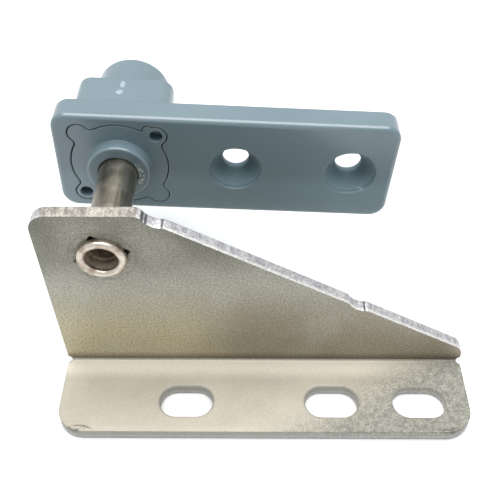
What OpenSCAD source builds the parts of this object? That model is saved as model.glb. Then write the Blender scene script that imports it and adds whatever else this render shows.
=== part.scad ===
// Self-closing hinge. A bracket of bent sheet is screwed to the cabinet, a moulded housing is screwed
// into the edge of the door, and a pivot shaft fixed in the bracket carries the housing. Inside, a
// spring presses a sliding cam on a cam keyed to the shaft, which turns the door shut.
// Millimetres, +Z up. The origin is on the underside of the flange, on the line of its slots,
// straight below the pivot axis, which runs along Y. The door is shown shut.

/* [Bracket] */
// Length along the bend
bracket_length = 100; // [85:0.5:150]
// Thickness of the sheet
sheet = 3; // [2:0.1:4]
// Depth of the flange, from its front edge to the inner face of the leg
flange_depth = 20.6; // [17:0.1:35]
// Radius of the two front corners of the flange
flange_corner = 6.6; // [1:0.1:8]
// Inner radius of the bend
bend_radius = 0.6; // [0.4:0.1:3]
// Radius of the relief notch at each end of the bend
relief_radius = 0.9; // [0.5:0.1:2]
// Height of the leg above the underside of the flange
leg_height = 54; // [50:0.5:80]
// Length of the straight top edge of the leg
leg_top = 22.6; // [20:0.1:40]
// Height of the leg at its far end
leg_end = 7.8; // [7:0.1:30]
// Radius of the leg's corner above the pivot
leg_corner = 4.2; // [1:0.1:8]
// Radius of the leg's far end
leg_end_radius = 4; // [1:0.1:4]
// Distances of the two edge notches from the top of the sloping edge
notch_at = [4, 57.5];
// Depth of an edge notch
notch_depth = 0.85; // [0.3:0.05:2]
// Radius of an edge notch
notch_radius = 5; // [3:0.1:10]

/* [Slots] */
// Distances of the slot centres from the end of the bracket next to the pivot
slot_at = [30.9, 66.5, 88];
// Distance of the slot line from the inner face of the leg
slot_line = 12.2; // [9:0.1:20]
// Length of a slot
slot_length = 13; // [9:0.1:18]
// Width of a slot
slot_width = 8.2; // [4:0.1:10]
// Radius of the rim that punching rolls over on top of a slot
slot_rim = 0.75; // [0.2:0.05:1.2]

/* [Pivot] */
// Distance of the pivot axis from the end of the bracket
pivot_inset = 14.2; // [11:0.1:20]
// Height of the pivot axis above the underside of the flange
pivot_height = 41.7; // [34:0.1:60]
// Diameter of the shaft where it shows
shaft_d = 9.4; // [8.8:0.1:11.6]
// Width across the four flats of the neck in the bracket
neck_flats = 9.5; // [8:0.1:9.7]
// Diameter over the neck's rounded corners
neck_d = 10.5; // [9.8:0.1:12]
// Angle of the first corner of the square hole
square_turn = 15; // [0:1:89]
// Diameter of the shoulder behind the leg
shoulder_d = 12.4; // [12:0.1:16]
// Length of the shoulder
shoulder_length = 2.4; // [1:0.1:6]
// Diameter of the flared end
flare_d = 11.2; // [9.8:0.1:12]
// Height of the flared end in front of the leg
flare_height = 1.5; // [0.9:0.1:2.5]
// Diameter of the hole in the flared end
flare_bore = 7.2; // [4:0.1:7.4]
// Depth of that hole
flare_bore_depth = 2.2; // [1:0.1:8]
// Diameter of the deeper hole
pilot_bore = 5.9; // [2:0.1:6.4]
// Depth of the deeper hole
pilot_depth = 9; // [4:0.5:20]
// Diameter of the coined ring round the flared end
coin_d = 15; // [12:0.1:18]
// Depth of the coined ring
coin_depth = 0.12; // [0.05:0.01:0.3]

/* [Housing] */
// Clear distance between the leg's inner face and the plate
reach = 31; // [20:0.5:60]
// Angle of the plate to the flange when the door is shut
shut_angle = 2.8; // [0:0.1:4]
// Length of the plate
plate_length = 83.9; // [80:0.1:120]
// Distance of the pivot axis from the end of the plate
plate_inset = 15.8; // [14.5:0.1:25]
// Height of the plate
plate_height = 28.7; // [27:0.1:40]
// Thickness of the plate
plate_thickness = 6.6; // [5.6:0.1:10]
// Radius of the plate's corners
plate_corner = 4.2; // [2.5:0.1:10]
// Rounding of the plate's front edge
plate_edge = 1.2; // [0.5:0.1:2]
// Distances of the two screw holes from the pivot axis
screw_at = [28.5, 57.1];
// Diameter of a screw hole
screw_d = 6.7; // [4:0.1:8]
// Diameter of the countersink
sink_d = 13; // [10:0.1:15]
// Depth of the straight rim of the countersink
sink_rim = 0.8; // [0.2:0.1:1.5]
// Depth of the whole countersink
sink_depth = 4.9; // [3:0.1:5]
// Width and height of the square block
block = 24.2; // [22.8:0.1:40]
// Depth of the square block behind the plate
block_depth = 12.7; // [12.4:0.1:30]
// Radius of the block's corners
block_corner = 3.6; // [1:0.1:4]
// Diameter of the barrel
barrel_d = 19.6; // [17.8:0.1:30]
// Length of the barrel behind the block
barrel_length = 13.2; // [11:0.1:30]
// Thickness of the barrel's end wall
end_wall = 2; // [1.5:0.1:4]

/* [Cover] */
// Thickness of the cover
cover_thickness = 4.2; // [3.5:0.1:5]
// Radius of the cover between its lobes
cover_r = 11.8; // [11:0.1:12]
// Distance of each lobe from the axis, along the plate and across it
lobe_at = 9.2; // [9:0.1:10]
// Radius of a lobe
lobe_r = 2.5; // [2:0.1:3]
// Radius of the hollow on each side of a lobe
lobe_hollow = 1.6; // [0.8:0.1:3]
// Diameter of the two locating holes
locating_d = 3.2; // [2:0.1:3.6]
// Place of the small key beside a lobe
key_at = [7.3, 10.8];
// Radius of the key
key_r = 1.15; // [0.8:0.05:1.5]
// Diameter of the collar round the shaft
collar_d = 15.4; // [14:0.1:18]
// Height of the collar in front of the plate
collar_height = 3.3; // [1:0.1:8]
// Rounding of the collar's rim
collar_edge = 0.6; // [0.2:0.1:1.2]

/* [Cams and spring] */
// Opening angle at which the follower has made its full lift
swing = 110; // [60:1:120]
// Lift of the follower over that angle
lift = 3; // [1:0.1:3.4]
// Angle over which one tooth rises
tooth_rise = 140; // [125:5:160]
// Outer diameter of the cam teeth
cam_d = 14.4; // [13:0.1:15]
// Inner diameter of the cam teeth
cam_bore = 9.8; // [9.6:0.1:10.4]
// Thickness of the drive cam's disc
cam_disc = 2.2; // [1.5:0.1:3]
// Width across the square that drives the cam
drive_flats = 6.2; // [5.5:0.1:6.4]
// Diameter of the shaft's tail
tail_d = 6; // [5:0.1:6.2]
// Thickness of the thrust washer
washer = 0.5; // [0.3:0.1:1]
// Thickness of the retaining clip
clip = 0.7; // [0.5:0.1:0.8]
// Depth of the clip's groove
clip_groove = 0.6; // [0.3:0.1:0.8]
// Thickness of the follower behind its teeth
follower_back = 2.6; // [2:0.1:2.8]
// Width and height of the follower
follower = 17.6; // [17:0.1:18]
// Radius of the follower's corners
follower_corner = 2.8; // [1.5:0.1:4]
// Wire of the spring
wire_d = 1.7; // [1.2:0.1:1.8]
// Mean diameter of the spring
spring_d = 12.2; // [11.8:0.1:12.4]
// Turns of the spring, with the closed turn at each end
turns = 7.5; // [5:0.5:7.5]

/* [Fits] */
// Gap round the flats in the bracket's square hole and in the drive cam
drive_gap = 0.05; // [0.02:0.01:0.2]
// Gap round the shaft in the cover and round its tail
running_gap = 0.2; // [0.1:0.05:0.4]
// Gap round the cover in its pocket
pocket_gap = 0.3; // [0.1:0.05:0.35]
// Gap round the sliding follower and between the cam teeth
slide_gap = 0.2; // [0.1:0.05:0.3]
// Gap between faces that turn on one another
face_gap = 0.05; // [0.03:0.01:0.1]

/* [View] */
// Piece to draw

/* [Hidden] */
$fn = 72;
over = 0.5;
left = -pivot_inset;
right = left + bracket_length;
leg_y = slot_line;
front_y = leg_y - flange_depth;
bend_y = leg_y - bend_radius;
bend_z = sheet + bend_radius;
slope = atan2(leg_height - leg_end, bracket_length - leg_top);
square_hole = neck_flats + 2 * drive_gap;
plate_y = leg_y + reach;
block_s = plate_thickness + block_depth;
barrel_s = block_s + barrel_length;
wall_s = barrel_s - end_wall;
washer_s = cover_thickness + face_gap;
cam_s = washer_s + washer + face_gap;
teeth_s = cam_s + cam_disc;
tooth_pitch = lift / swing;
tooth_height = tooth_pitch * tooth_rise;
clip_s = teeth_s + face_gap;
follower_s = teeth_s + tooth_height + slide_gap;
follower_end = follower_s + follower_back;
cavity_end = follower_end + lift + 0.8;
cavity = follower + 2 * slide_gap;
spigot_r = (spring_d - wire_d) / 2 - 0.4;
spigot_length = 1.5;
socket_depth = 3.5;
socket_floor = 0.5;
spring_s = follower_end + face_gap;
spring_end = wall_s;
bore_r = (spring_d + wire_d) / 2 + 0.35;
collar_r = collar_d / 2;
tooth_step = 5;

function spot(c, i) = [c[i][0], c[i][1]];
function towards(a, b) = (b - a) / norm(b - a);
function arm(c, i, k) = towards(spot(c, i), spot(c, (i + k + len(c)) % len(c)));
function half_angle(c, i) = acos(arm(c, i, -1) * arm(c, i, 1)) / 2;
function tangent(c, i, k) = spot(c, i) + arm(c, i, k) * c[i][2] / tan(half_angle(c, i));
function ends(c, i) = c[i][2] > 0 ? [tangent(c, i, -1), tangent(c, i, 1)] : [spot(c, i)];
function middle(c, i) = towards([0, 0], arm(c, i, -1) + arm(c, i, 1));
function centre(c, i) = spot(c, i) + middle(c, i) * c[i][2] / sin(half_angle(c, i));

// Convex outline from corners given as [x, y, radius]
module rounded(corners) {
    polygon([for (i = [0 : len(corners) - 1]) for (p = ends(corners, i)) p]);
    for (i = [0 : len(corners) - 1])
        if (corners[i][2] > 0)
            translate(centre(corners, i))
                circle(r = corners[i][2]);
}

module rounded_square(w, r) {
    h = w / 2;
    rounded([[-h, -h, r], [h, -h, r], [h, h, r], [-h, h, r]]);
}

// Prism of an outline in X and Z, between two distances along Y
module slab(from, to) {
    translate([0, to, 0])
        rotate([90, 0, 0])
            linear_extrude(to - from)
                children();
}

// Solid of revolution about Y, from a profile of radius and distance along Y
module turned() {
    rotate([-90, 0, 0])
        rotate_extrude()
            children();
}

module rod(r, from, to) {
    translate([0, from, 0])
        rotate([-90, 0, 0])
            cylinder(r = r, h = to - from);
}

// Moves a piece from the pivot's own frame, where Y counts from the plate's face, into place
module at_pivot() {
    translate([0, plate_y, pivot_height])
        children();
}

// The same for pieces that stand at the shut angle of the door
module at_door() {
    at_pivot()
        rotate([0, shut_angle, 0])
            children();
}

// Half of a slot's section, counted from its middle, with the rim rolled over at the top
module slot_profile() {
    half = slot_width / 2;
    translate([0, -over])
        square([half, sheet + 2 * over]);
    difference() {
        translate([half - over, sheet - slot_rim])
            square([over + 0.8 * slot_rim, slot_rim + over]);
        translate([half + slot_rim, sheet - 0.98 * slot_rim])
            circle(r = slot_rim);
    }
}

module slot_cut() {
    straight = slot_length - slot_width;
    for (turn = [0, 180])
        rotate(turn) {
            translate([straight / 2, 0, 0])
                rotate(-90)
                    rotate_extrude(angle = 180)
                        slot_profile();
            translate([-straight / 2, 0, 0])
                rotate([90, 0, 90])
                    linear_extrude(straight)
                        slot_profile();
        }
}

module flange_sheet() {
    difference() {
        linear_extrude(sheet)
            rounded([
                [left, front_y, flange_corner],
                [right, front_y, flange_corner],
                [right, bend_y, 0],
                [left, bend_y, 0]
            ]);
        for (x = slot_at)
            translate([left + x, 0, 0])
                slot_cut();
    }
}

module leg_outline() {
    difference() {
        rounded([
            [left, bend_z, 0],
            [right, bend_z, 0],
            [right, leg_end, leg_end_radius],
            [left + leg_top, leg_height, 1.5],
            [left, leg_height, leg_corner]
        ]);
        for (d = notch_at)
            translate([left + leg_top, leg_height])
                rotate(-slope)
                    translate([d, notch_radius - notch_depth])
                        circle(r = notch_radius);
    }
}

module bend() {
    translate([left, bend_y, bend_z])
        rotate([90, 0, 90])
            linear_extrude(bracket_length)
                difference() {
                    intersection() {
                        circle(r = bend_radius + sheet);
                        translate([0, -bend_radius - sheet])
                            square(bend_radius + sheet);
                    }
                    circle(r = bend_radius);
                }
}

module square_section(w) {
    rotate(square_turn - 45)
        rounded_square(w, 0.4);
}

module bracket() {
    color([0.72, 0.7, 0.66])
        difference() {
            union() {
                flange_sheet();
                bend();
                slab(leg_y, leg_y + sheet)
                    leg_outline();
            }
            for (x = [left, right])
                translate([x, bend_y, bend_z])
                    rotate([45, 0, 0])
                        translate([0, 0, -3 * sheet])
                            cylinder(r = relief_radius, h = 6 * sheet);
            translate([0, 0, pivot_height]) {
                slab(leg_y - over, leg_y + sheet + over)
                    square_section(square_hole);
                rod(coin_d / 2, leg_y - over, leg_y + coin_depth);
            }
        }
}

// Profile of the flared end, with Y counted from the bottom of the coined ring
module flare_profile() {
    lip = (flare_d - flare_bore) / 4;
    lip_r = flare_d / 2 - lip;
    square_top = flare_height + coin_depth - lip;
    translate([flare_bore / 2 - over, -square_top])
        square([flare_d / 2 - flare_bore / 2 + over, square_top]);
    difference() {
        translate([lip_r, -square_top])
            circle(r = lip);
        square(flare_d);
    }
}

module pivot_shaft() {
    seat = leg_y + coin_depth - plate_y;
    back = leg_y + sheet - plate_y;
    groove_s = clip_s - face_gap / 2;
    color([0.55, 0.52, 0.46])
        at_pivot()
            difference() {
                union() {
                    translate([0, seat, 0])
                        turned()
                            flare_profile();
                    intersection() {
                        rod(neck_d / 2, seat - 0.05, back + over);
                        slab(seat - 0.1, back + 2 * over)
                            square_section(neck_flats);
                    }
                    rod(shoulder_d / 2, back, back + shoulder_length);
                    rod(shaft_d / 2, back, cam_s);
                    intersection() {
                        rod(drive_flats * 0.68, cam_s - over, teeth_s);
                        slab(cam_s - 2 * over, teeth_s + over)
                            square_section(drive_flats);
                    }
                    rod(tail_d / 2, teeth_s - over, wall_s - socket_floor - 2 * face_gap);
                }
                rod(flare_bore / 2, seat - 3 * flare_height - over, seat + flare_bore_depth);
                rod(pilot_bore / 2, seat, seat + pilot_depth);
                difference() {
                    rod(tail_d, groove_s, groove_s + clip + face_gap);
                    rod(tail_d / 2 - clip_groove, groove_s - over, groove_s + clip + over);
                }
            }
}

// Point of the fillet between the cover's circle and a lobe, on one side of the lobe
function fillet_point(side) =
    let (d = lobe_at * sqrt(2))
    let (a = cover_r + lobe_hollow)
    let (b = lobe_r + lobe_hollow)
    let (turn = acos((a * a + d * d - b * b) / (2 * a * d)))
    a * [cos(45 + side * turn), sin(45 + side * turn)];

module lobe(grow) {
    translate([lobe_at, lobe_at])
        circle(r = lobe_r + grow);
    difference() {
        polygon([[0, 0], fillet_point(-1), [lobe_at, lobe_at], fillet_point(1)]);
        for (side = [-1, 1])
            translate(fillet_point(side))
                circle(r = lobe_hollow - grow);
    }
}

// Outline of the cover, and of its pocket when grown by the gap
module lobed(grow) {
    circle(r = cover_r + grow);
    for (turn = [0, 90, 180, 270])
        rotate(turn)
            lobe(grow);
    translate(key_at)
        circle(r = key_r + grow);
}

module locating_places() {
    for (k = [-1, 1])
        translate([k * lobe_at, 0, k * lobe_at])
            children();
}

// One corner of the plate, with the rounded front edge
module plate_button() {
    rotate([-90, 0, 0])
        rotate_extrude($fn = 40)
            polygon(concat(
                [[0, plate_thickness], [0, 0]],
                [for (a = [0 : 15 : 90])
                    [plate_corner - plate_edge + plate_edge * sin(a), plate_edge - plate_edge * cos(a)]],
                [[plate_corner, plate_thickness]]
            ));
}

module plate_body() {
    x0 = plate_corner - plate_inset;
    x1 = plate_length - plate_inset - plate_corner;
    z1 = plate_height / 2 - plate_corner;
    hull()
        for (x = [x0, x1])
            for (z = [-z1, z1])
                translate([x, 0, z])
                    plate_button();
}

module barrel_profile() {
    edge = 1;
    r = barrel_d / 2;
    square([r, barrel_s - edge]);
    square([r - edge, barrel_s]);
    translate([r - edge, barrel_s - edge])
        circle(r = edge);
}

module screw_hole() {
    rod(screw_d / 2, -over, plate_thickness + over);
    rod(sink_d / 2, -over, sink_rim);
    translate([0, sink_rim, 0])
        rotate([-90, 0, 0])
            cylinder(d1 = sink_d - 0.8, d2 = screw_d, h = sink_depth - sink_rim);
}

module housing() {
    color([0.42, 0.45, 0.48])
        at_door() {
            difference() {
                union() {
                    plate_body();
                    slab(plate_thickness - over, block_s)
                        rounded_square(block, block_corner);
                    intersection() {
                        turned()
                            barrel_profile();
                        rod(barrel_d, block_s - over, barrel_s + over);
                    }
                }
                slab(-over, cover_thickness)
                    lobed(pocket_gap);
                slab(cover_thickness - over, cavity_end)
                    rounded_square(cavity, follower_corner + slide_gap);
                rod(bore_r, cavity_end - over, wall_s);
                for (x = screw_at)
                    translate([x, 0, 0])
                        screw_hole();
            }
            locating_places()
                rod(locating_d / 2 - 0.1, cover_thickness * 0.6, cover_thickness + over);
            difference() {
                rod(spigot_r, wall_s - socket_depth, wall_s + over);
                rod(tail_d / 2 + running_gap, wall_s - socket_depth - over, wall_s - socket_floor);
            }
        }
}

module cover() {
    inner = shaft_d / 2 + running_gap;
    edge_r = collar_r - collar_edge;
    color([0.38, 0.41, 0.44])
        at_door()
            difference() {
                union() {
                    slab(0, cover_thickness)
                        lobed(0);
                    turned() {
                        translate([0, collar_edge - collar_height])
                            square([collar_r, collar_height]);
                        translate([0, -collar_height])
                            square([edge_r, collar_height]);
                        translate([edge_r, collar_edge - collar_height])
                            circle(r = collar_edge);
                    }
                }
                rod(inner, -collar_height - over, cover_thickness + over);
                locating_places()
                    rod(locating_d / 2, -over, cover_thickness + over);
            }
}

module thrust_washer() {
    color([0.8, 0.78, 0.72])
        at_pivot()
            difference() {
                rod(cam_d / 2, washer_s, washer_s + washer);
                rod(shaft_d / 2 + running_gap, washer_s - over, washer_s + washer + over);
            }
}

// Height of the teeth at an angle, two teeth in a turn
function tooth(a) =
    let (t = a % 180)
    t < tooth_rise ? t * tooth_pitch : tooth_height * (180 - t) / (180 - tooth_rise);

function ring_point(r, a, s) = [r * cos(a), s, r * sin(a)];

// Ring between two radii, whose front and back follow the teeth or lie flat
module toothed_ring(r0, r1, front, front_teeth, back, back_teeth) {
    n = 360 / tooth_step;
    points = [for (i = [0 : n - 1])
        let (a = i * tooth_step)
        let (s0 = front + front_teeth * tooth(a))
        let (s1 = back + back_teeth * tooth(a))
        each [ring_point(r0, a, s0), ring_point(r1, a, s0), ring_point(r1, a, s1), ring_point(r0, a, s1)]];
    faces = [for (i = [0 : n - 1])
        for (k = [0 : 3])
            let (j = (i + 1) % n)
            let (m = (k + 1) % 4)
            each [[4 * i + k, 4 * j + m, 4 * i + m], [4 * i + k, 4 * j + k, 4 * j + m]]];
    polyhedron(points, faces);
}

module drive_cam() {
    color([0.86, 0.84, 0.76])
        at_door()
            difference() {
                union() {
                    rod(cam_d / 2, cam_s, teeth_s);
                    toothed_ring(cam_bore / 2, cam_d / 2 - 0.01, teeth_s - over, 0, teeth_s, 1);
                }
                slab(cam_s - over, teeth_s + over)
                    rotate(shut_angle)
                        square_section(drive_flats + 2 * drive_gap);
            }
}

module follower_cam() {
    mouth = teeth_s + slide_gap + 0.2;
    color([0.86, 0.84, 0.76])
        at_door()
            difference() {
                union() {
                    difference() {
                        slab(mouth, follower_end)
                            rounded_square(follower, follower_corner);
                        rod(cam_d / 2 + slide_gap, mouth - over, follower_s);
                    }
                    toothed_ring(cam_bore / 2, cam_d / 2 + 0.5, teeth_s + slide_gap, 1, follower_s + over, 0);
                    rod(spigot_r, follower_end - over, follower_end + spigot_length);
                }
                rod(tail_d / 2 + running_gap, mouth - over, follower_end + spigot_length + over);
            }
}

module retaining_clip() {
    inner = tail_d / 2 - clip_groove + 0.05;
    outer = cam_bore / 2 - 0.3;
    color([0.5, 0.5, 0.52])
        at_pivot()
            slab(clip_s, clip_s + clip)
                difference() {
                    circle(r = outer);
                    circle(r = inner);
                    for (turn = [60, 180])
                        rotate(turn)
                            translate([inner + 0.5, 0])
                                circle(r = 0.9);
                    polygon([[0, 0], [3 * outer * cos(-100), 3 * outer * sin(-100)],
                        [3 * outer * cos(-20), 3 * outer * sin(-20)]]);
                }
}

// Distance along the spring at a number of turns, with one closed turn at each end
function coil_s(t) =
    let (closed = wire_d + 0.05)
    let (height = spring_end - spring_s)
    let (open = height - 2 * closed)
    t < 1 ? closed * t
        : t > turns - 1 ? height - closed * (turns - t)
        : closed + open * (t - 1) / (turns - 2);

function coil_point(t, b) =
    let (r = spring_d / 2 + wire_d / 2 * cos(b))
    [r * cos(360 * t), spring_s + coil_s(t) + wire_d / 2 * sin(b), r * sin(360 * t)];

module coil() {
    sides = 8;
    steps = 20;
    n = turns * steps;
    points = [for (i = [0 : n]) for (k = [0 : sides - 1]) coil_point(i / steps, 360 * k / sides)];
    walls = [for (i = [0 : n - 1])
        for (k = [0 : sides - 1])
            let (m = (k + 1) % sides)
            each [
                [sides * i + k, sides * (i + 1) + m, sides * i + m],
                [sides * i + k, sides * (i + 1) + k, sides * (i + 1) + m]
            ]];
    first = [for (k = [0 : sides - 1]) k];
    last = [for (k = [sides - 1 : -1 : 0]) sides * n + k];
    polyhedron(points, concat(walls, [first, last]));
}

module compression_spring() {
    color([0.6, 0.6, 0.62])
        at_door()
            intersection() {
                coil();
                rod(spring_d, spring_s, spring_end - face_gap);
            }
}

bracket();
pivot_shaft();
housing();
cover();
thrust_washer();
drive_cam();
retaining_clip();
follower_cam();
compression_spring();
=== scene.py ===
import math

import bpy
from mathutils import Matrix, Vector


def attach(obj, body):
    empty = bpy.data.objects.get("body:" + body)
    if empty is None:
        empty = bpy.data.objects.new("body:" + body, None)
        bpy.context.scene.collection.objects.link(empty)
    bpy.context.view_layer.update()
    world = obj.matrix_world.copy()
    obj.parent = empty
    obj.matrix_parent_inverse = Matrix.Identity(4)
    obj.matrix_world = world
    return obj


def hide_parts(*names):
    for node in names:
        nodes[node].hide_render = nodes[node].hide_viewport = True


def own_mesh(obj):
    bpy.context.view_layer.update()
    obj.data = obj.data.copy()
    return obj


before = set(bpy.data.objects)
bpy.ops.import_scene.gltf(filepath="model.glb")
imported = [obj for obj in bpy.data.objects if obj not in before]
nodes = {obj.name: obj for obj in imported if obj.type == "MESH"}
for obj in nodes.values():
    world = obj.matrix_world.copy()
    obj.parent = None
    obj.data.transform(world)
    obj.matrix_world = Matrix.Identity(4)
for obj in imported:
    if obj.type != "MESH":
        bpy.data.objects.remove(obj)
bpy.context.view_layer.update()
scene = bpy.context.scene

# Places on the hinge, in metres: the flange's front edge, the leg's front face and top edge,
# the sheet's thickness, the pivot's height, the plate's face and the angle of the shut door
FRONT_Y = -0.0084
LEG_Y = 0.0122
LEG_TOP = 0.054
SHEET = 0.003
PIVOT_Z = 0.0417
PLATE_Y = 0.0432
SHUT = math.radians(2.8)
# Scratched front corners of the flange, nicks along the leg's edge, screw holes along the plate
NEAR_CORNER = (-0.0086, -0.0075, SHEET)
FAR_CORNER = (0.0802, -0.0077, SHEET)
NICKS = (0.0098, 0.0105, 0.0138, 0.0594)
SCREWS = (0.0285, 0.0571)
# Where the countersinks lie behind the plate's face, and a long cylinder round each
SUNK_FROM = (PLATE_Y + 0.0003, PLATE_Y + 0.0012)
SUNK_TO = (PLATE_Y + 0.0061, PLATE_Y + 0.0064)
SUNK_DEPTH = 0.0033
SUNK_SIZE = (0.0066, 0.0330, 0.0066)

# Colours of the sheet. A pair is mottled from the first to the second.
LEG_PALE = (0.350, 0.340, 0.290)
LEG_PIVOT = (0.185, 0.180, 0.148)
LEG_FLECK = (0.46, 0.445, 0.39)
BROWN_NEAR = (0.470, 0.415, 0.285)
BROWN_MIDDLE = (0.275, 0.242, 0.180)
BROWN_FAR = (0.335, 0.295, 0.225)
# painted shade, partly a brown stain: the dark colour in the crease at the foot of the leg
CREASE_SHADE_AND_STAIN = (0.085, 0.070, 0.042)
FLANGE = ((0.430, 0.387, 0.317), (0.490, 0.446, 0.370))
FLANGE_COARSE = ((0.195, 0.189, 0.160), (0.288, 0.280, 0.238))
# painted highlight of the flange by the bend of the crease
FLANGE_CREASE_HIGHLIGHT = (0.76, 0.70, 0.59)
# painted highlight along the flange's rolled front edge
FRONT_EDGE_HIGHLIGHT = (0.60, 0.56, 0.47)
SHEARED = ((0.29, 0.283, 0.298), (0.49, 0.482, 0.492))
# painted highlight on the front rim of the leg's sheared edge
SHEARED_RIM_HIGHLIGHT = (0.64, 0.63, 0.605)
SHEARED_TOP = ((0.17, 0.155, 0.125), (0.40, 0.37, 0.32))
NICK = (0.045, 0.048, 0.055)
CUT = ((0.42, 0.40, 0.375), (0.34, 0.325, 0.29))
SCRATCH = (0.085, 0.075, 0.06)
# Colours of the shaft
SHAFT = ((0.172, 0.156, 0.118), (0.264, 0.252, 0.214))
SHAFT_DRAWN = (0.344, 0.328, 0.294)
SHAFT_RING = (0.10, 0.09, 0.07)
LIP = ((0.36, 0.29, 0.235), (0.60, 0.54, 0.475))
BORE = ((0.20, 0.15, 0.11), (0.42, 0.34, 0.27))
# Colours of the mouldings and of the pieces inside
PLASTIC = ((0.134, 0.188, 0.217), (0.150, 0.209, 0.240))
PALE = (0.40, 0.50, 0.54)
CHALK = (0.58, 0.60, 0.57)
ACETAL = ((0.70, 0.67, 0.56), (0.78, 0.75, 0.66))
WASHER = ((0.5, 0.49, 0.46), (0.62, 0.61, 0.58))
CLIP = ((0.12, 0.12, 0.13), (0.2, 0.2, 0.21))
WIRE = ((0.3, 0.3, 0.31), (0.42, 0.42, 0.43))

# Studio
FLOOR_REACH = 0.6
FLOOR_PLACE = (0.03, 0.03, -0.0002)
FLOOR_WHITE = (0.9, 0.9, 0.9)
FILL_COLOUR = (0.88, 0.975, 1.0, 1)
FILL_STRENGTH = 0.40
TOP_PLACE = (0.03, 0.08, 0.80)
TOP_TARGET = (0.03, 0.03, 0.02)
TOP_SIDE = 0.8
TOP_WATTS = 11.0
# Camera, fitted to the photograph: degrees down from level, to the side and of roll
CAMERA_LENS = 51.944
CAMERA_SENSOR = 36
CAMERA_PLACE = (0.03301, -0.09392, 0.15745)
CAMERA_TURN = (46.875, -0.391, 0.108)


class Graph:
    """A material's node tree, built with short calls."""

    def __init__(self, name):
        self.mat = bpy.data.materials.new(name)
        self.mat.use_nodes = True
        self.tree = self.mat.node_tree
        self.tree.nodes.clear()
        self.out = self.add("ShaderNodeOutputMaterial")
        self.shader = self.add("ShaderNodeBsdfPrincipled")
        self.link(self.shader.outputs["BSDF"], self.out.inputs["Surface"])
        self.coord = self.add("ShaderNodeTexCoord").outputs["Object"]
        self.normal = self.add("ShaderNodeNewGeometry").outputs["Normal"]
        split = self.add("ShaderNodeSeparateXYZ")
        self.link(self.coord, split.inputs[0])
        self.x, self.y, self.z = split.outputs
        facing = self.add("ShaderNodeSeparateXYZ")
        self.link(self.normal, facing.inputs[0])
        self.nx, self.ny, self.nz = facing.outputs

    def add(self, kind):
        return self.tree.nodes.new(kind)

    def link(self, a, b):
        self.tree.links.new(a, b)

    def put(self, value, socket):
        """Links a socket, or sets a constant."""
        if isinstance(value, bpy.types.NodeSocket):
            self.link(value, socket)
        elif isinstance(value, tuple) and len(value) == 3 and socket.type == "RGBA":
            socket.default_value = (*value, 1)
        else:
            socket.default_value = value

    def math(self, op, a, b=0.0):
        n = self.add("ShaderNodeMath")
        n.operation = op
        self.put(a, n.inputs[0])
        self.put(b, n.inputs[1])
        return n.outputs[0]

    def plus(self, a, b):
        return self.math("ADD", a, b)

    def less(self, a, b):
        return self.math("SUBTRACT", a, b)

    def times(self, a, b):
        return self.math("MULTIPLY", a, b)

    def step(self, value, low, high, a=0.0, b=1.0):
        """Goes smoothly from a to b as value goes from low to high."""
        n = self.add("ShaderNodeMapRange")
        n.interpolation_type = "SMOOTHSTEP"
        self.put(value, n.inputs["Value"])
        n.inputs["From Min"].default_value = low
        n.inputs["From Max"].default_value = high
        n.inputs["To Min"].default_value = a
        n.inputs["To Max"].default_value = b
        return n.outputs["Result"]

    def scaled(self, scale):
        n = self.add("ShaderNodeMapping")
        self.put(self.coord, n.inputs["Vector"])
        n.inputs["Scale"].default_value = scale
        return n.outputs[0]

    def noise(self, scale, detail=4.0, rough=0.55, vector=None):
        n = self.add("ShaderNodeTexNoise")
        self.put(self.coord if vector is None else vector, n.inputs["Vector"])
        n.inputs["Scale"].default_value = scale
        n.inputs["Detail"].default_value = detail
        n.inputs["Roughness"].default_value = rough
        return n.outputs["Fac"]

    def mix(self, fac, a, b, mode="MIX"):
        n = self.add("ShaderNodeMix")
        n.data_type = "RGBA"
        n.blend_type = mode
        self.put(fac, n.inputs["Factor"])
        self.put(a, n.inputs[6])
        self.put(b, n.inputs[7])
        return n.outputs[2]

    def mottled(self, noise, low, high, pair):
        """Goes from a pair's first colour to its second as a noise rises."""
        return self.mix(self.step(noise, low, high), *pair)

    def near(self, point, size, soft):
        """1 inside an ellipsoid round a point, falling to 0 over a share of its size."""
        away = self.vector("SUBTRACT", self.coord, point)
        away = self.vector("DIVIDE", away, size)
        return self.step(self.vector("LENGTH", away), 1.0, 1.0 + soft, 1.0, 0.0)

    def vector(self, op, a, b=None):
        n = self.add("ShaderNodeVectorMath")
        n.operation = op
        self.put(a, n.inputs[0])
        if b is not None:
            self.put(b, n.inputs[1])
        return n.outputs["Value" if op == "LENGTH" else "Vector"]

    def from_axis(self):
        """Distance from the pivot axis."""
        rise = self.less(self.z, PIVOT_Z)
        square = self.plus(self.times(self.x, self.x), self.times(rise, rise))
        return self.math("SQRT", square)

    def bump(self, height, strength, distance, normal=None):
        n = self.add("ShaderNodeBump")
        n.inputs["Strength"].default_value = strength
        n.inputs["Distance"].default_value = distance
        self.put(height, n.inputs["Height"])
        if normal is not None:
            self.put(normal, n.inputs["Normal"])
        return n.outputs["Normal"]

    def soft_edges(self, radius):
        """A normal that looks as if edges had this radius."""
        n = self.add("ShaderNodeBevel")
        n.samples = 6
        n.inputs["Radius"].default_value = radius
        return n.outputs["Normal"]

    def finish(self, colour, metallic, rough, normal=None, specular=0.5):
        self.put(colour, self.shader.inputs["Base Color"])
        self.put(metallic, self.shader.inputs["Metallic"])
        self.put(rough, self.shader.inputs["Roughness"])
        self.put(specular, self.shader.inputs["Specular IOR Level"])
        if normal is not None:
            self.put(normal, self.shader.inputs["Normal"])
        return self.mat


def door_point(u, depth, w):
    """A point given along the plate, behind its face and across it."""
    return (
        u * math.cos(SHUT) + w * math.sin(SHUT),
        PLATE_Y + depth,
        PIVOT_Z - u * math.sin(SHUT) + w * math.cos(SHUT),
    )


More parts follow.
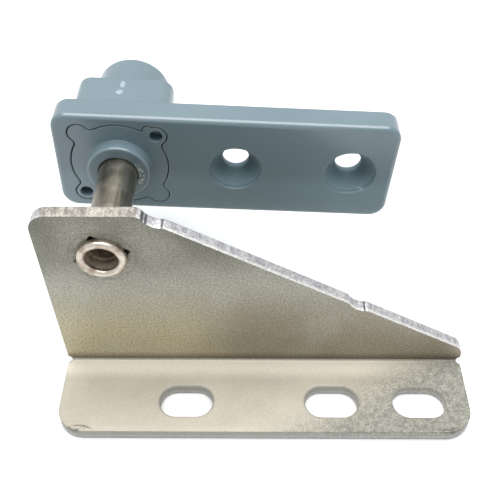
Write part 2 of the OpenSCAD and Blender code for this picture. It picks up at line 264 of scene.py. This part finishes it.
def stainless():
    """The bracket's sheet: a leg and a flange of different tone, with sheared edges."""
    g = Graph("stainless_sheet")
    mottle = g.noise(70, 5, 0.62)
    cloud = g.noise(20, 3, 0.5)
    grain = g.noise(2300, 3, 0.7)
    speckle = g.noise(650, 3, 0.6)
    side = g.less(1.0, g.math("ABSOLUTE", g.ny))
    flat = g.step(g.nz, 0.75, 0.95)
    low = g.step(g.z, 0.0031, 0.0036, 1.0, 0.0)
    drift = g.times(g.less(cloud, 0.5), 0.016)
    height = g.plus(g.z, drift)
    along = g.plus(g.x, drift)
    # leg: darker round the pivot, palest in the middle, yellow and brown above the crease
    leg = g.mix(g.step(height, 0.030, 0.047), LEG_PALE, LEG_PIVOT)
    brown = g.mix(g.step(along, 0.010, 0.032), BROWN_NEAR, BROWN_MIDDLE)
    brown = g.mix(g.step(along, 0.045, 0.062), brown, BROWN_FAR)
    leg = g.mix(g.step(height, 0.012, 0.034, 0.95, 0.0), leg, brown)
    leg = g.mix(g.step(mottle, 0.40, 0.70, 0.0, 0.30), leg, LEG_FLECK)
    # painted shade, partly a brown stain: the leg darkens into the crease
    leg = g.mix(g.step(g.z, 0.0036, 0.0068, 0.70, 0.0), leg, CREASE_SHADE_AND_STAIN)
    # flange: pale and creamy, with painted highlights by the crease and along the front edge,
    # greyer and coarser at the far front
    flange = g.mottled(mottle, 0.3, 0.7, FLANGE)
    slant = g.less(g.times(g.x, 0.5), g.times(g.y, 0.8))
    far = g.step(g.plus(slant, g.times(drift, 0.5)), 0.0205, 0.036)
    coarse = g.mottled(speckle, 0.35, 0.65, FLANGE_COARSE)
    # painted highlight: the flange paler towards the bend of the crease
    flange = g.mix(g.step(g.y, 0.0055, 0.0100, 0.0, 0.85), flange, FLANGE_CREASE_HIGHLIGHT)
    # painted highlight: a pale band along the rolled front edge of the flange
    front = g.plus(g.y, g.times(mottle, 0.0012))
    front = g.step(front, FRONT_Y + 0.0012, FRONT_Y + 0.0030, 0.25, 0.0)
    flange = g.mix(front, flange, FRONT_EDGE_HIGHLIGHT)
    flange = g.mix(far, flange, coarse)
    base = g.mix(low, leg, flange)
    # sheared edges of the leg: a dull band with a painted highlight on the rim at the front,
    # duller on top
    torn = g.noise(900, 4, 0.7, g.scaled((1, 0.3, 1)))
    sheared = g.mottled(torn, 0.36, 0.64, SHEARED)
    # painted highlight: a pale line where the leg's face meets its sheared edge
    rim_highlight = g.plus(g.y, g.times(torn, 0.0012))
    rim_highlight = g.step(rim_highlight, LEG_Y + 0.0008, LEG_Y + 0.0018, 1.0, 0.0)
    sheared = g.mix(rim_highlight, sheared, SHEARED_RIM_HIGHLIGHT)
    top = g.step(g.z, LEG_TOP - 0.0004, LEG_TOP - 0.0001)
    dull = g.mottled(torn, 0.35, 0.65, SHEARED_TOP)
    sheared = g.mix(g.times(top, 0.85), sheared, dull)
    for x in NICKS:
        away = g.math("ABSOLUTE", g.less(g.x, x))
        sheared = g.mix(g.step(away, 0.00012, 0.00035, 0.85, 0.0), sheared, NICK)
    leg_edge = g.times(g.step(side, 0.6, 0.9), g.step(g.z, 0.0046, 0.0052))
    base = g.mix(leg_edge, base, sheared)
    # cut edges of the flange: torn below, smooth above
    cut = g.times(low, g.less(1.0, flat))
    broken = g.plus(g.z, g.times(torn, 0.0008))
    base = g.mix(cut, base, g.mottled(broken, 0.0014, 0.002, CUT))
    # grain of the rolled sheet, faint on the pale part of the flange
    smooth = g.times(low, g.less(1.0, far))
    amount = g.step(smooth, 0.0, 1.0, 1.0, 0.3)
    base = g.mix(amount, base, g.step(grain, 0.30, 0.70, 1.32, 0.68), "MULTIPLY")
    # scratches at the two front corners
    for point in (NEAR_CORNER, FAR_CORNER):
        scratch = g.step(g.noise(1.0, 4, 0.7, g.scaled((600, 2000, 600))), 0.42, 0.60)
        mark = g.times(g.near(point, (0.0022, 0.0006, 0.001), 0.8), scratch)
        base = g.mix(g.times(mark, 0.8), base, SCRATCH)
    rough = g.step(g.noise(120, 4, 0.6), 0.3, 0.7, 0.46, 0.60)
    rough = g.plus(rough, g.times(low, 0.12))
    metal = g.step(low, 0.0, 1.0, 0.6, 0.12)
    fine = g.plus(grain, g.times(speckle, 0.8))
    normal = g.bump(g.times(fine, amount), 0.4, 0.00006, g.soft_edges(0.0005))
    return g.finish(base, metal, rough, normal, 0.3)


def shaft_steel():
    """Turned steel with a copper tint on the flared lip and in its bore."""
    g = Graph("shaft_steel")
    drawn = g.noise(1.0, 4, 0.65, g.scaled((900, 40, 900)))
    rings = g.noise(1.0, 3, 0.6, g.scaled((40, 1600, 40)))
    patch = g.noise(160, 4, 0.6)
    spots = g.noise(500, 3, 0.6)
    base = g.mottled(patch, 0.35, 0.7, SHAFT)
    base = g.mix(g.step(drawn, 0.42, 0.66, 0.0, 0.6), base, SHAFT_DRAWN)
    base = g.mix(g.step(rings, 0.50, 0.68, 0.0, 0.4), base, SHAFT_RING)
    head = g.step(g.y, LEG_Y + 0.0002, LEG_Y + 0.001, 1.0, 0.0)
    base = g.mix(head, base, g.mottled(spots, 0.35, 0.65, LIP))
    begins = g.step(g.y, LEG_Y - 0.0006, LEG_Y + 0.0004)
    ends = g.step(g.y, PLATE_Y - 0.02, PLATE_Y - 0.015, 1.0, 0.0)
    within = g.step(g.from_axis(), 0.0036, 0.0039, 1.0, 0.0)
    inside = g.times(g.times(begins, ends), within)
    base = g.mix(inside, base, g.mottled(spots, 0.35, 0.65, BORE))
    rough = g.step(patch, 0.3, 0.7, 0.26, 0.38)
    rough = g.plus(rough, g.times(inside, 0.3))
    normal = g.bump(g.plus(rings, drawn), 0.2, 0.00005, g.soft_edges(0.0002))
    metal = g.less(0.95, g.times(inside, 0.65))
    return g.finish(base, metal, rough, normal)


def moulding(name, dark, pale, marks=()):
    """Satin plastic. Each mark is a point, a size, a colour and how broken it is."""
    g = Graph(name)
    cloud = g.noise(40, 3, 0.5)
    grain = g.noise(1800, 2, 0.5)
    base = g.mix(g.step(cloud, 0.3, 0.7), dark, pale)
    # the countersinks are duller than the faces
    behind = g.times(g.step(g.y, *SUNK_FROM), g.step(g.y, *SUNK_TO, 1.0, 0.0))
    sunk = 0.0
    for u in SCREWS:
        hole = g.near(door_point(u, SUNK_DEPTH, 0), SUNK_SIZE, 0.03)
        sunk = g.plus(sunk, g.times(hole, behind))
    # painted light: the lower half is made a little paler, standing in for light from the floor
    # below
    across = g.plus(g.times(g.z, math.cos(SHUT)), g.times(g.x, math.sin(SHUT)))
    painted_floor_light = g.step(across, PIVOT_Z - 0.0060, PIVOT_Z + 0.0010, 1.24, 1.0)
    base = g.mix(1.0, base, painted_floor_light, "MULTIPLY")
    for point, size, colour, broken in marks:
        fleck = g.step(g.noise(1300, 3), 0.46, 0.58, 1.0 - broken, 1.0)
        spot = g.times(g.near(point, size, 0.9), fleck)
        base = g.mix(g.times(spot, 0.75), base, colour)
    rough = g.plus(g.step(cloud, 0.2, 0.8, 0.20, 0.22), g.times(sunk, 0.4))
    normal = g.bump(grain, 0.06, 0.00004, g.soft_edges(0.0005))
    specular = g.step(sunk, 0.0, 1.0, 0.75, 0.15)
    return g.finish(base, 0.0, rough, normal, specular)


def plain_metal(name, pair, rough):
    """Metal of the pieces inside the housing."""
    g = Graph(name)
    patch = g.noise(220, 4, 0.6)
    base = g.mottled(patch, 0.35, 0.7, pair)
    rough = g.step(patch, 0.3, 0.7, rough - 0.05, rough + 0.08)
    return g.finish(base, 1.0, rough, g.soft_edges(0.0001))


def acetal():
    """Natural plastic of the two cams."""
    g = Graph("cam_plastic")
    base = g.mottled(g.noise(120, 3), 0.3, 0.7, ACETAL)
    normal = g.bump(g.noise(1500, 2), 0.06, 0.00004)
    return g.finish(base, 0.0, 0.42, normal, 0.4)


# Pale moulding marks on the block and the plate, and chalky scuffs on the collar
gate_marks = [
    (door_point(-0.0005, 0.0168, 0.0121), (0.0004, 0.0009, 0.0005), PALE, 0.3),
    (door_point(-0.0009, 0.0134, 0.0121), (0.0006, 0.0006, 0.0005), PALE, 0.4),
    (door_point(0.0600, 0.0003, -0.0052), (0.0009, 0.0006, 0.0003), PALE, 0.6),
]
scuff_places = ((0.0047, 0.0023), (0.0055, 0.0008), (0.0057, -0.0008), (0.0050, -0.0024))
scuffs = [
    (door_point(u, -0.0033, w), (0.0005, 0.0005, 0.0008), CHALK, 1.0) for u, w in scuff_places
]
looks = {
    "bracket": stainless(),
    "pivot_shaft": shaft_steel(),
    "housing": moulding("grey_plastic", *PLASTIC, marks=gate_marks),
    "cover": moulding("cover_plastic", *PLASTIC, marks=scuffs),
    "thrust_washer": plain_metal("washer_steel", WASHER, 0.3),
    "drive_cam": acetal(),
    "retaining_clip": plain_metal("clip_steel", CLIP, 0.4),
    "compression_spring": plain_metal("spring_steel", WIRE, 0.35),
}
looks["follower_cam"] = looks["drive_cam"]

for name, obj in nodes.items():
    obj.data.materials.clear()
    obj.data.materials.append(looks[name])

# Spring: a copy of the rigid node's mesh on the door, shown in place of the rigid node
spring = bpy.data.objects.new("spring_coil", nodes["compression_spring"].data.copy())
scene.collection.objects.link(spring)
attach(spring, "door")
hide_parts("compression_spring")
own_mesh(spring)

# Floor
corners = [(-1, -1), (1, -1), (1, 1), (-1, 1)]
floor_mesh = bpy.data.meshes.new("floor")
floor_mesh.from_pydata(
    [(x * FLOOR_REACH, y * FLOOR_REACH, 0) for x, y in corners], [], [(0, 1, 2, 3)]
)
floor = bpy.data.objects.new("floor", floor_mesh)
floor.location = FLOOR_PLACE
scene.collection.objects.link(floor)
floor_mesh.materials.append(Graph("floor").finish(FLOOR_WHITE, 0.0, 0.9, None, 0.0))

# World: white to the camera and in reflections, a cool soft grey as light
world = bpy.data.worlds.new("studio")
scene.world = world
world.use_nodes = True
tree = world.node_tree
tree.nodes.clear()
out = tree.nodes.new("ShaderNodeOutputWorld")
mixer = tree.nodes.new("ShaderNodeMixShader")
fill = tree.nodes.new("ShaderNodeBackground")
fill.inputs["Color"].default_value = FILL_COLOUR
fill.inputs["Strength"].default_value = FILL_STRENGTH
white = tree.nodes.new("ShaderNodeBackground")
white.inputs["Color"].default_value = (1, 1, 1, 1)
white.inputs["Strength"].default_value = 1.0
path = tree.nodes.new("ShaderNodeLightPath")
seen = path.outputs["Is Camera Ray"]
for ray in ("Is Glossy Ray", "Is Transmission Ray"):
    either = tree.nodes.new("ShaderNodeMath")
    either.operation = "MAXIMUM"
    tree.links.new(seen, either.inputs[0])
    tree.links.new(path.outputs[ray], either.inputs[1])
    seen = either.outputs[0]
tree.links.new(seen, mixer.inputs[0])
tree.links.new(fill.outputs[0], mixer.inputs[1])
tree.links.new(white.outputs[0], mixer.inputs[2])
tree.links.new(mixer.outputs[0], out.inputs[0])

# Top light
top_data = bpy.data.lights.new("top", "AREA")
top_data.shape = "RECTANGLE"
top_data.size = TOP_SIDE
top_data.size_y = TOP_SIDE
top_data.energy = TOP_WATTS
top_light = bpy.data.objects.new("top", top_data)
top_light.location = TOP_PLACE
aim = Vector(TOP_TARGET) - Vector(TOP_PLACE)
top_light.rotation_euler = aim.to_track_quat("-Z", "Y").to_euler()
scene.collection.objects.link(top_light)

# Camera
cam_data = bpy.data.cameras.new("camera")
cam_data.lens = CAMERA_LENS
cam_data.sensor_width = CAMERA_SENSOR
cam_data.clip_start = 0.01
camera = bpy.data.objects.new("camera", cam_data)
pitch, yaw, roll = (math.radians(a) for a in CAMERA_TURN)
level = math.cos(pitch)
ahead = Vector((math.sin(yaw) * level, math.cos(yaw) * level, -math.sin(pitch)))
right = Vector((math.cos(yaw), -math.sin(yaw), 0))
down = ahead.cross(right)
right, down = (
    right * math.cos(roll) + down * math.sin(roll),
    down * math.cos(roll) - right * math.sin(roll),
)
turn = Matrix((right, -down, -ahead)).transposed()
camera.matrix_world = Matrix.Translation(CAMERA_PLACE) @ turn.to_4x4()
scene.collection.objects.link(camera)
scene.camera = camera
scene.view_settings.view_transform = "Standard"
